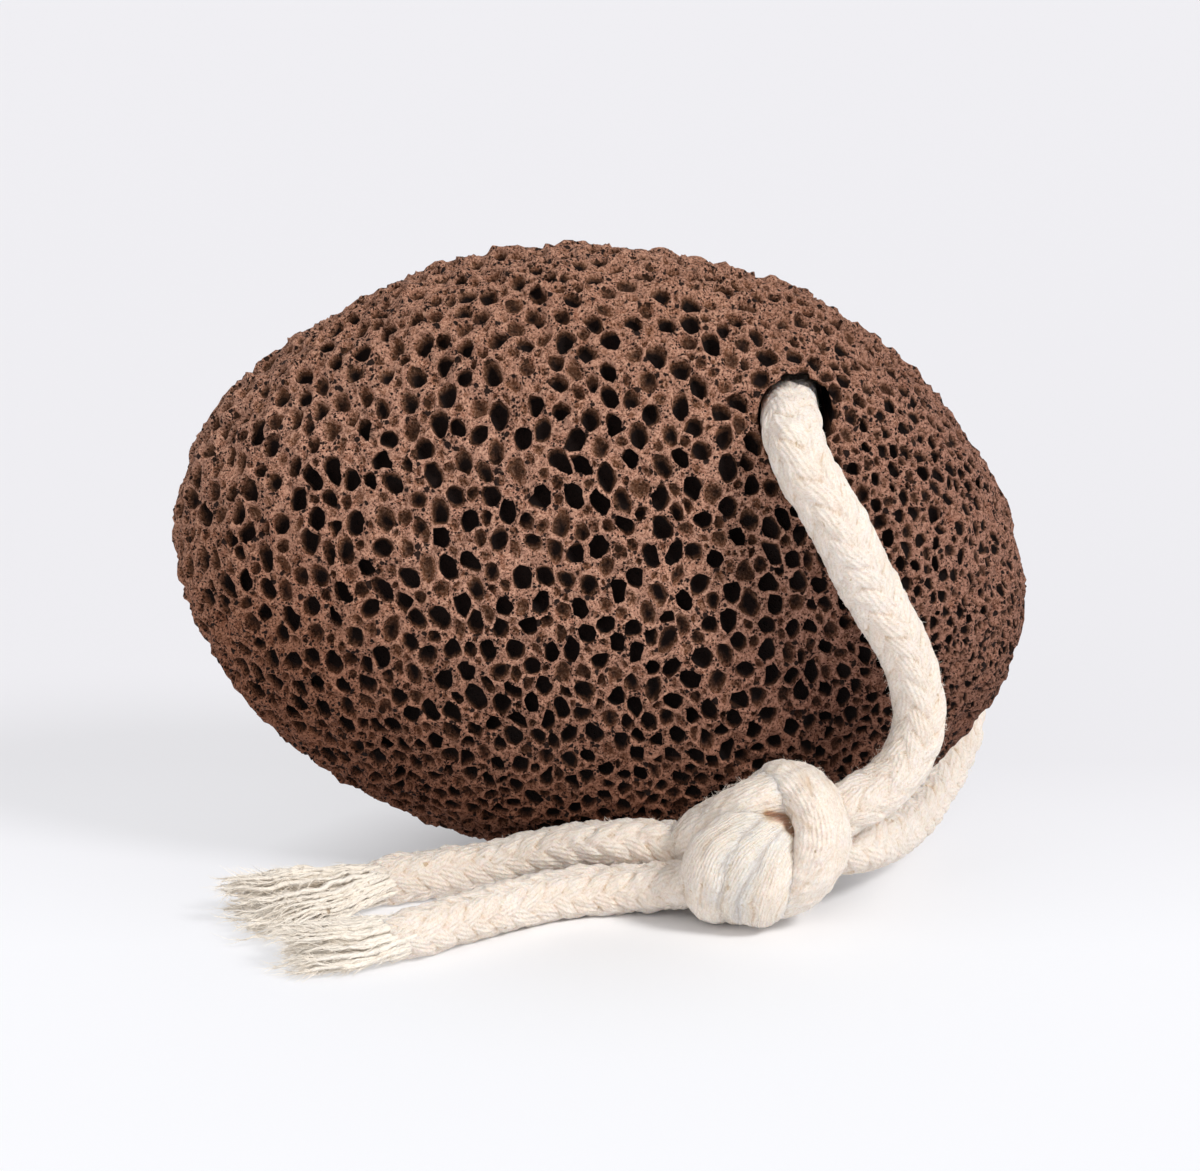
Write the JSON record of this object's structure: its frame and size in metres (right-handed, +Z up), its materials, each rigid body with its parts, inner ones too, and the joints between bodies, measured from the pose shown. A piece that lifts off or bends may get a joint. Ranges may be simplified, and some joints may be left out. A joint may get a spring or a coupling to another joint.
{
  "type": "pumice stone",
  "caption": "Oval vesicular pumice foot stone standing on its long edge, drilled near one end, with a knotted braided cotton cord through the hole and two frayed tails",
  "frame": {"origin": "on the ground, under the centre of the stone's bounding box, with the cord left out", "axes": "+X along the stone's length towards its drilled end, +Y through its thickness away from the knot, +Z up"},
  "size_m": [0.099, 0.0759, 0.0721],
  "materials": {
    "pumice": "open-pored, matt, reddish brown volcanic stone",
    "cotton_cord": "unbleached cotton braid, soft and slightly fuzzy"
  },
  "bodies": {
    "root": {"stone": "pumice", "rope_loop": "cotton_cord", "knot": "cotton_cord", "tail_upper": "cotton_cord", "tail_lower": "cotton_cord", "frayed_end_upper": "cotton_cord", "frayed_end_lower": "cotton_cord"}
  },
  "joints": []
}
